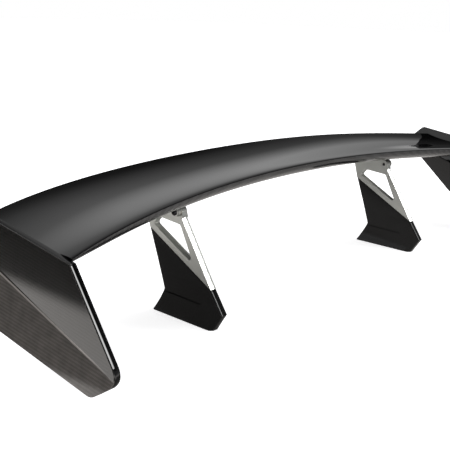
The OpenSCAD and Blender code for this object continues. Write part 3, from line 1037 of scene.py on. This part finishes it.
@dataclass
class EndPlate:
    """End plate: a woven outer skin, a black shell and the foam between them."""

    finishes: Finishes
    corners: tuple[Point2, ...] = (
        (112, 268), (162, 224), (14, 86), (-208, 48), (-257, 83.2), (-151, 231.5))
    radii: tuple[float, ...] = (3, 6, 6, 22, 24, 6)
    half_span: float = 755.0
    skin_t: float = 2.5
    plate_t: float = 12.5
    floor_t: float = 2.5
    rim: float = 9.0
    flare: float = 0.2
    crease_soft: float = 2.2
    crease_cuts: tuple[float, ...] = (0.6, 1.2, 2.0, 3.0, 5.0, 9.0)
    cad_steps: int = 7

    def __post_init__(self) -> None:
        """Finds the crease line."""
        line = rounded(self.corners, self.radii, self.cad_steps)

        def middle(i: int) -> np.ndarray:
            """Middle of the arc at corner i."""
            k = i * (self.cad_steps + 1) + (self.cad_steps - 1) // 2
            return (np.array(line[k]) + np.array(line[k + 1])) / 2

        self.crease_rear, self.crease_front = middle(1), middle(4)

    def below(self, y: float, z: float) -> float:
        """How far the point (y, z) lies below the crease."""
        run = self.crease_front - self.crease_rear
        return float(self.crease_rear[1] + run[1] * (y - self.crease_rear[0]) / run[0] - z)

    def face_x(self, y: float, z: float) -> float:
        """Outer face, with the crease softened.

        Args:
            y: Place along the wing's length.
            z: Height.

        Returns:
            Its x.
        """
        d = self.below(y, z)
        w = self.crease_soft
        soft = (math.sqrt(d * d + w * w) + d) / 2 - w / 2
        return self.half_span + self.flare * max(0.0, soft)

    def layer(self, name: str, outline: Sequence[Point2], t0: float, t1: float) -> bpy.types.Object:
        """Layer of the plate between two depths below its outer face.

        Args:
            name: Name of the piece.
            outline: Outline in (y, z).
            t0: Depth of its outer side.
            t1: Depth of its inner side.

        Returns:
            The piece.
        """
        work = bmesh.new()
        work.faces.new([work.verts.new((0, y, z)) for y, z in outline])
        run = unit(np.array((*(self.crease_front - self.crease_rear),)))
        across = Vector((0, -run[1], run[0]))
        for offset in (*(-cut_at for cut_at in reversed(self.crease_cuts)), 0.0, *self.crease_cuts):
            start = Vector((0, *self.crease_rear)) + across * offset
            bmesh.ops.bisect_plane(work, geom=work.verts[:] + work.edges[:] + work.faces[:], dist=1e-4,
                                   plane_co=start, plane_no=across)
        work.verts.index_update()
        flat = [(v.co.y, v.co.z) for v in work.verts]
        caps = [[v.index for v in f.verts] for f in work.faces]
        border = [(e.verts[0].index, e.verts[1].index) for e in work.edges if e.is_boundary]
        work.free()
        m = len(flat)
        points = [(self.face_x(y, z) - t, y, z) for t in (t0, t1) for y, z in flat]
        faces = caps + [[m + i for i in reversed(f)] for f in caps]
        faces += [(a, b, m + b, m + a) for a, b in border]
        return new_piece(name, points, faces)

    def build(self) -> None:
        """Builds and dresses both plates."""
        outline = rounded(self.corners, self.radii, 14)
        skin = self.layer("plate_face_left", outline, 0.0, self.skin_t)
        shade(skin, 30.0)
        break_edges(skin, 1.1, 45.0, 4)
        shell = self.layer("plate_back_left", outline, self.skin_t, self.plate_t)
        shade(shell, 30.0)
        break_edges(shell, 1.3, 45.0, 4)
        room_radii = [max(r - self.rim, 1) for r in self.radii]
        room_line = rounded(inset(self.corners, self.rim), room_radii, 5)
        cut(shell, self.layer("room_tool", room_line, self.skin_t - 1, self.plate_t - self.floor_t))
        shade(shell, 30.0)
        for side in Side:
            face = skin if side is Side.LEFT else mirrored(skin, "plate_face_right")
            back = shell if side is Side.LEFT else mirrored(shell, "plate_back_right")
            settle(dress(face, self.finishes.plate_twill), Body.BLADE,
                   f"plate_skin_{side.tag}")
            settle(dress(back, self.finishes.lacquer), Body.BLADE,
                   f"plate_shell_{side.tag}")
            dress_node(f"plate_core_{side.tag}", self.finishes.foam)


# --- uprights -------------------------------------------------------------------------------


@dataclass
class FootCover:
    """Moulded foot cover of the left upright, in millimetres."""

    upright_x: float = 372.5
    cover_w: float = 17.0
    base_w: float = 28.0
    bottom: float = 1.5
    waist_z: float = 51.0
    toe_z: float = 36.0
    gap: float = 0.3
    joint_front: Point2 = (-78.0, 79.5)
    joint_rear: Point2 = (90.0, 169.0)
    plate_box: tuple[float, float, float] = (20.0, 120.0, 9.5)
    tongue_t: float = 8.0
    groove: tuple[Point3, Point3] = ((-50, 46.5, 3.6), (43, 46, 0.9))
    groove_d: float = 3.0
    rear_waist_y: float = 47.5
    heel: Point2 = (28.0, 1.12)
    back: tuple[float, float, float] = (42.5, 118.0, 1.05)
    sole_front_y: float = -86.0
    toe_y: float = -109.0
    prow_slope: float = 0.705
    skirt_z: float = 46.0
    nose: tuple[float, float, float] = (4.5, 16.5, 1.3)
    nose_inset: Point2 = (3.4, 0.25)
    rear_r: float = 3.0
    top_z: float = 176.0

    def rear_y(self, z: float) -> float:
        """Rear edge.

        Args:
            z: Height.

        Returns:
            Its y.
        """
        if z < self.waist_z:
            reach, power = self.heel
            return self.rear_waist_y + reach * (1 - z / self.waist_z) ** power
        reach, height, power = self.back
        return self.rear_waist_y + reach * ((z - self.waist_z) / height) ** power

    def front_y(self, z: float) -> float:
        """Front edge.

        Args:
            z: Height.

        Returns:
            Its y.
        """
        if z < self.toe_z:
            return self.sole_front_y + (self.toe_y - self.sole_front_y) * z / self.toe_z
        return self.toe_y + self.prow_slope * (z - self.toe_z)

    def ring(self, z: float) -> list[Point3]:
        """Outline at one height.

        Args:
            z: The height.

        Returns:
            Its points, all the way round.
        """
        half = self.cover_w / 2 + (self.base_w - self.cover_w) / 2 * max(0.0, 1 - z / self.skirt_z) ** 2
        nose = self.nose[0] + self.nose[1] * max(0.0, 1 - z / self.toe_z) ** self.nose[2]
        r, f = self.rear_y(z), self.front_y(z)
        arc = [(r - self.rear_r + self.rear_r * math.sin(a), half - self.rear_r + self.rear_r * math.cos(a))
               for a in np.linspace(math.pi / 2, 0, 6)]
        tip = half - self.nose_inset[0] - nose * self.nose_inset[1]
        bow = [(f + nose * (1 - math.sin(a)), tip + (half - tip) * math.cos(a))
               for a in np.linspace(0, math.pi / 2, 8)]
        sidewall = arc + bow
        return ([(self.upright_x + w, y, z) for y, w in sidewall]
                + [(self.upright_x - w, y, z) for y, w in reversed(sidewall)])

    def tongue(self, grow: float) -> list[Point2]:
        """Outline of the room for the bracket's tongue.

        Args:
            grow: How far the room stands off the tongue.

        Returns:
            The outline in (y, z).
        """
        run = unit(np.array(self.joint_rear) - np.array(self.joint_front))
        up = np.array((-run[1], run[0]))
        a = np.array(self.joint_front) + 8 * run + 2 * up - grow * run
        b = np.array(self.joint_rear) - 9 * run + 2 * up + grow * run
        top = self.plate_box[2]
        return [tuple(a), tuple(b), (42 + grow, 52), (28 + grow, 34), (28 + grow, top - grow),
                (-28 - grow, top - grow), (-28 - grow, 24 - grow), (-70 - grow, 42 - grow)]

    def groove_tool(self, sign: int) -> bpy.types.Object:
        """Tool that cuts the tapered groove in one side.

        Args:
            sign: 1 for the outboard side and -1 for the inboard side.

        Returns:
            The tool.
        """
        (y0, z0, r0), (y1, z1, r1) = self.groove
        quarter = math.pi / 2
        outline = [(y0 + r0 * math.cos(a), z0 + r0 * math.sin(a))
                   for a in np.linspace(quarter, 3 * quarter, 13)]
        outline += [(y1 + r1 * math.cos(a), z1 + r1 * math.sin(a))
                    for a in np.linspace(-quarter, quarter, 9)]
        face = self.upright_x + sign * self.cover_w / 2
        ends = sorted((face - sign * self.groove_d, face + sign * 6))
        return prism("groove_tool", outline, *ends)

    def build(self, name: str) -> bpy.types.Object:
        """Builds the cover.

        Args:
            name: Name of the piece.

        Returns:
            The piece.
        """
        levels = sorted({*np.linspace(self.bottom, self.toe_z, 14),
                         *np.linspace(self.toe_z, self.waist_z, 6),
                         *np.linspace(self.waist_z, self.top_z, 26)})
        rings = [self.ring(z) for z in levels]
        m = len(rings[0])
        faces: list[Sequence[int]] = [tuple(range(m)), tuple((len(rings) - 1) * m + i for i in range(m))]
        for k in range(0, (len(rings) - 1) * m, m):
            faces += [(k + i, k + (i + 1) % m, k + m + (i + 1) % m, k + m + i) for i in range(m)]
        cover = new_piece(name, [p for ring in rings for p in ring], faces)
        run = unit(np.array(self.joint_rear) - np.array(self.joint_front))
        up = np.array((-run[1], run[0]))
        at = np.array(self.joint_front) - self.gap * up
        work = bmesh.new()
        work.from_mesh(cover.data)
        trimmed = bmesh.ops.bisect_plane(
            work, geom=work.verts[:] + work.edges[:] + work.faces[:], dist=1e-6, clear_outer=True,
            plane_co=Vector((0, *(MM * at))), plane_no=Vector((0, *up)))
        rim = [e for e in trimmed["geom_cut"] if isinstance(e, bmesh.types.BMEdge)]
        bmesh.ops.holes_fill(work, edges=rim)
        work.to_mesh(cover.data)
        work.free()
        tidy(cover)
        width, length, top = self.plate_box
        box = [(-length / 2 - self.gap, 0), (-length / 2 - self.gap, top + self.gap),
               (length / 2 + self.gap, top + self.gap), (length / 2 + self.gap, 0)]
        half_w, half_t = width / 2 + self.gap, self.tongue_t / 2 + self.gap
        cut(cover,
            prism("plate_tool", box, self.upright_x - half_w, self.upright_x + half_w),
            prism("tongue_tool", self.tongue(2 * self.gap), self.upright_x - half_t,
                  self.upright_x + half_t),
            self.groove_tool(-1), self.groove_tool(1))
        tidy(cover)
        shade(cover, 34.0)
        break_edges(cover, 0.5, 55.0, 3)
        return cover


@dataclass
class Uprights:
    """The two brackets with their feet, which hold the tilt joint."""

    finishes: Finishes
    cover: FootCover = field(default_factory=FootCover)

    def build(self) -> None:
        """Builds and dresses both uprights."""
        left_cover = self.cover.build("foot_shroud_left")
        for side in Side:
            tag = side.tag
            shroud = left_cover if side is Side.LEFT else mirrored(left_cover, "foot_shroud_right")
            settle(dress(shroud, self.finishes.satin), Body.UPRIGHTS, f"foot_cover_{tag}")
            for stem, width, material, slot in (
                    ("bracket", 0.5, self.finishes.aluminium, "milled_aluminium"),
                    ("base_plate", 0.4, self.finishes.aluminium, "milled_aluminium"),
                    ("gasket", 0.25, self.finishes.rubber, "black_rubber"),
                    ("base_screws", 0.2, self.finishes.bright_steel, "bright_steel"),
                    ("cover_screws", 0.12, self.finishes.dark_steel, "dark_steel")):
                piece = machined(f"{stem}_{tag}", width, f"{stem}_body_{tag}")
                settle(dress(piece, material), Body.UPRIGHTS, f"{stem}_{tag}")


@dataclass
class TiltJoint:
    """Hanger plates, bushes, bolts and washers of the tilt joint."""

    finishes: Finishes

    def build(self) -> None:
        """Builds and dresses the joint's pieces."""
        steel, bright = self.finishes.dark_steel, self.finishes.bright_steel
        pieces = (
            ("hanger", 0.5, self.finishes.aluminium, "milled_aluminium", Body.BLADE),
            ("pivot_bush", 0.15, self.finishes.bronze, "bronze", Body.BLADE),
            ("hanger_bolts", 0.25, steel, "dark_steel", Body.BLADE),
            ("hanger_nuts", 0.25, bright, "bright_steel", Body.BLADE),
            ("pivot_bolt", 0.25, steel, "dark_steel", Body.UPRIGHTS),
            ("clamp_bolt", 0.25, steel, "dark_steel", Body.UPRIGHTS),
            ("pivot_washer", 0.2, bright, "bright_steel", Body.UPRIGHTS),
            ("clamp_washer", 0.2, bright, "bright_steel", Body.UPRIGHTS),
        )
        for side in Side:
            for stem, width, material, slot, body in pieces:
                piece = machined(f"{stem}_{side.tag}", width, f"{stem}_body_{side.tag}")
                settle(dress(piece, material), body, f"{stem}_{side.tag}")


# --- studio ---------------------------------------------------------------------------------


@dataclass
class Studio:
    """Pale floor, soft light and the camera."""

    eye: Point3 = (-1.3824, -1.0067, 0.5823)
    yaw: float = 48.15
    pitch: float = -15.34
    roll: float = 1.82
    lens: float = 61.96
    sky: tuple[tuple[float, float], ...] = (
        (-90, 1.0), (1.0, 1.0), (3.0, 0.5), (10, 0.80), (15, 0.54), (20, 0.27), (25, 0.24), (30, 0.18),
        (35, 0.07), (42, 0.02), (90, 0.02))
    sky_turn: tuple[float, float, float] = (38.0, 45.0, 65.0)
    sky_fall: float = 2.38
    ambient: float = 0.45
    strip: tuple[Point2, Point2] = ((-1.05, -0.99), (-0.7, -0.85))
    apron: tuple[Point2, Point2] = ((-0.4, -0.55), (0.5, -0.4))
    table_rise: Point2 = (-0.3, 0.1)
    table_levels: Point2 = (0.14, 0.22)
    table_glow: float = 1.7
    cards: tuple[tuple[Point2, Point2, float], ...] = (
        ((150.0, 180.0), (32.0, 54.0), 14.0), ((76.0, 104.0), (2.0, 24.0), 1.8))
    floor_glow: float = 0.7
    floor_half: float = 30.0
    table_tint: tuple[float, float, float, float] = (1.0, 0.965, 0.93, 1.0)

    def camera(self) -> None:
        """Places the camera."""
        data = bpy.data.cameras.new("camera")
        data.lens = self.lens
        data.sensor_width = 36.0
        data.clip_end = 200.0
        camera = bpy.data.objects.new("camera", data)
        bpy.context.scene.collection.objects.link(camera)
        yaw, pitch, roll = (math.radians(a) for a in (self.yaw, self.pitch, self.roll))
        ahead = Vector((math.sin(yaw) * math.cos(pitch), math.cos(yaw) * math.cos(pitch), math.sin(pitch)))
        level = Vector((math.cos(yaw), -math.sin(yaw), 0))
        over = level.cross(ahead)
        right = level * math.cos(roll) + over * math.sin(roll)
        up = -level * math.sin(roll) + over * math.cos(roll)
        turn = Matrix((right, up, -ahead)).transposed().to_4x4()
        camera.matrix_world = Matrix.Translation(self.eye) @ turn
        bpy.context.scene.camera = camera

    def floor(self) -> None:
        """Lays the floor: pale all over, and a lit table as the glossy pieces mirror it."""
        half = self.floor_half
        corners = [(-half, -half, 0), (half, -half, 0), (half, half, 0), (-half, half, 0)]
        mesh = bpy.data.meshes.new("floor")
        mesh.from_pydata(corners, [], [(0, 1, 2, 3)])
        floor = bpy.data.objects.new("floor", mesh)
        bpy.context.scene.collection.objects.link(floor)
        bench = MaterialBench("pale_floor")
        paths = bench.tree.nodes.new("ShaderNodeLightPath").outputs
        at = bench.place()
        strip = bench.math("MULTIPLY", bench.fade(at["X"], *self.strip[0]),
                           bench.fade(at["X"], *self.strip[1]))
        rise = bench.math("MULTIPLY", bench.fade(at["X"], *self.table_rise), self.table_levels[1])
        table = bench.math("MULTIPLY", bench.math("ADD", rise, self.table_levels[0]),
                           bench.fade(at["X"], *self.strip[0]))
        front = bench.math("MULTIPLY", bench.fade(at["Y"], *self.apron[0]),
                           bench.fade(at["X"], *self.apron[1]))
        shape = bench.math("MAXIMUM", table, bench.math("MAXIMUM", strip, front))
        mirrored_glow = bench.tree.nodes.new("ShaderNodeEmission")
        bench.put(bench.math("MULTIPLY", shape, self.table_glow), mirrored_glow.inputs["Strength"])
        mirrored_glow.inputs["Color"].default_value = self.table_tint
        bench.finish(base=(0.85, 0.85, 0.86, 1.0), roughness=0.9, specular=0.0,
                     emission=WHITE,
                     emission_strength=bench.math("MULTIPLY", paths["Is Camera Ray"], self.floor_glow))
        either = bench.tree.nodes.new("ShaderNodeMixShader")
        bench.put(paths["Is Glossy Ray"], either.inputs[0])
        bench.put(bench.shader.outputs[0], either.inputs[1])
        bench.put(mirrored_glow.outputs[0], either.inputs[2])
        bench.put(either.outputs[0], bench.output.inputs[0])
        floor.data.materials.append(bench.material)

    def world(self) -> None:
        """Sets the sky: white behind the wing, and a soft band that fades upwards in the gloss."""
        world = bpy.data.worlds.new("studio")
        bpy.context.scene.world = world
        world.use_nodes = True
        bench = Bench(world.node_tree)
        paths = bench.tree.nodes.new("ShaderNodeLightPath").outputs
        where = bench.tree.nodes.new("ShaderNodeTexCoord").outputs["Generated"]
        split = bench.tree.nodes.new("ShaderNodeSeparateXYZ")
        bench.put(where, split.inputs[0])
        lift = bench.math("ARCSINE", split.outputs[2])
        share = bench.math("MULTIPLY_ADD", lift, 1 / math.pi, 0.5)
        band = bench.ramp(share, [((angle + 90) / 180, (level,) * 3) for angle, level in self.sky])
        turn = bench.math("ARCTAN2", split.outputs[0], split.outputs[1])
        low_turn, middle, high_turn = (math.radians(a) for a in self.sky_turn)
        kept = bench.math("MINIMUM", bench.math("MAXIMUM", turn, low_turn), high_turn)
        power = bench.math("MULTIPLY", bench.math("SUBTRACT", middle, kept), self.sky_fall)
        mirrored_sky = bench.math("MULTIPLY", band, bench.math("EXPONENT", power))
        for (left, right), (low, high), card_glow in self.cards:
            card = bench.math("MULTIPLY", bench.band(turn, math.radians(left), math.radians(right)),
                              bench.band(lift, math.radians(low), math.radians(high)))
            mirrored_sky = bench.math("MAXIMUM", mirrored_sky, bench.math("MULTIPLY", card, card_glow))
        soft = bench.math("MULTIPLY_ADD", paths["Is Glossy Ray"],
                          bench.math("SUBTRACT", mirrored_sky, self.ambient), self.ambient)
        level = bench.math("MAXIMUM", soft, paths["Is Camera Ray"])
        glow = bench.tree.nodes.new("ShaderNodeBackground")
        bench.put(WHITE, glow.inputs[0])
        bench.put(level, glow.inputs[1])
        output = bench.tree.nodes.new("ShaderNodeOutputWorld")
        bench.put(glow.outputs[0], output.inputs[0])

    def dome(self, name: str, towards: Point3, angle: float, strength: float) -> None:
        """Adds light from a wide patch of sky.

        Args:
            name: Name of the light.
            towards: Direction of the patch.
            angle: Width of the patch in degrees.
            strength: Strength on a face square to it.
        """
        data = bpy.data.lights.new(name, "SUN")
        data.angle = math.radians(angle)
        data.energy = strength
        lamp = bpy.data.objects.new(name, data)
        bpy.context.scene.collection.objects.link(lamp)
        lamp.rotation_euler = (-Vector(towards)).to_track_quat("-Z", "Y").to_euler()

    def softbox(self, name: str, at: Point3, target: Point3, size: Point2, power: float) -> None:
        """Hangs a softbox.

        Args:
            name: Name of the light.
            at: Its place in metres.
            target: Point it faces.
            size: Width and height in metres.
            power: Watts.
        """
        data = bpy.data.lights.new(name, "AREA")
        data.shape = "RECTANGLE"
        data.size, data.size_y = size
        data.energy = power
        lamp = bpy.data.objects.new(name, data)
        bpy.context.scene.collection.objects.link(lamp)
        lamp.location = at
        lamp.rotation_euler = (Vector(target) - Vector(at)).to_track_quat("-Z", "Y").to_euler()
        lamp.visible_glossy = False

    def build(self) -> None:
        """Sets up the whole studio."""
        bpy.context.scene.view_settings.view_transform = "Standard"
        self.camera()
        self.floor()
        self.world()
        self.dome("overhead", (0.0, 0.15, 1.0), 60.0, 1.5)
        self.softbox("front_key", (2.2, -2.2, 2.0), (0.0, 0.0, 0.2), (1.6, 1.2), 60.0)


def main() -> None:
    """Builds the wing piece by piece, then the studio."""
    logging.basicConfig(level=logging.INFO, format="%(name)s: %(message)s")
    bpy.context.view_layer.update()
    finishes = Finishes()
    Blade(finishes).build()
    EndPlate(finishes).build()
    Uprights(finishes).build()
    TiltJoint(finishes).build()
    Studio().build()


if __name__ == "__main__":
    main()
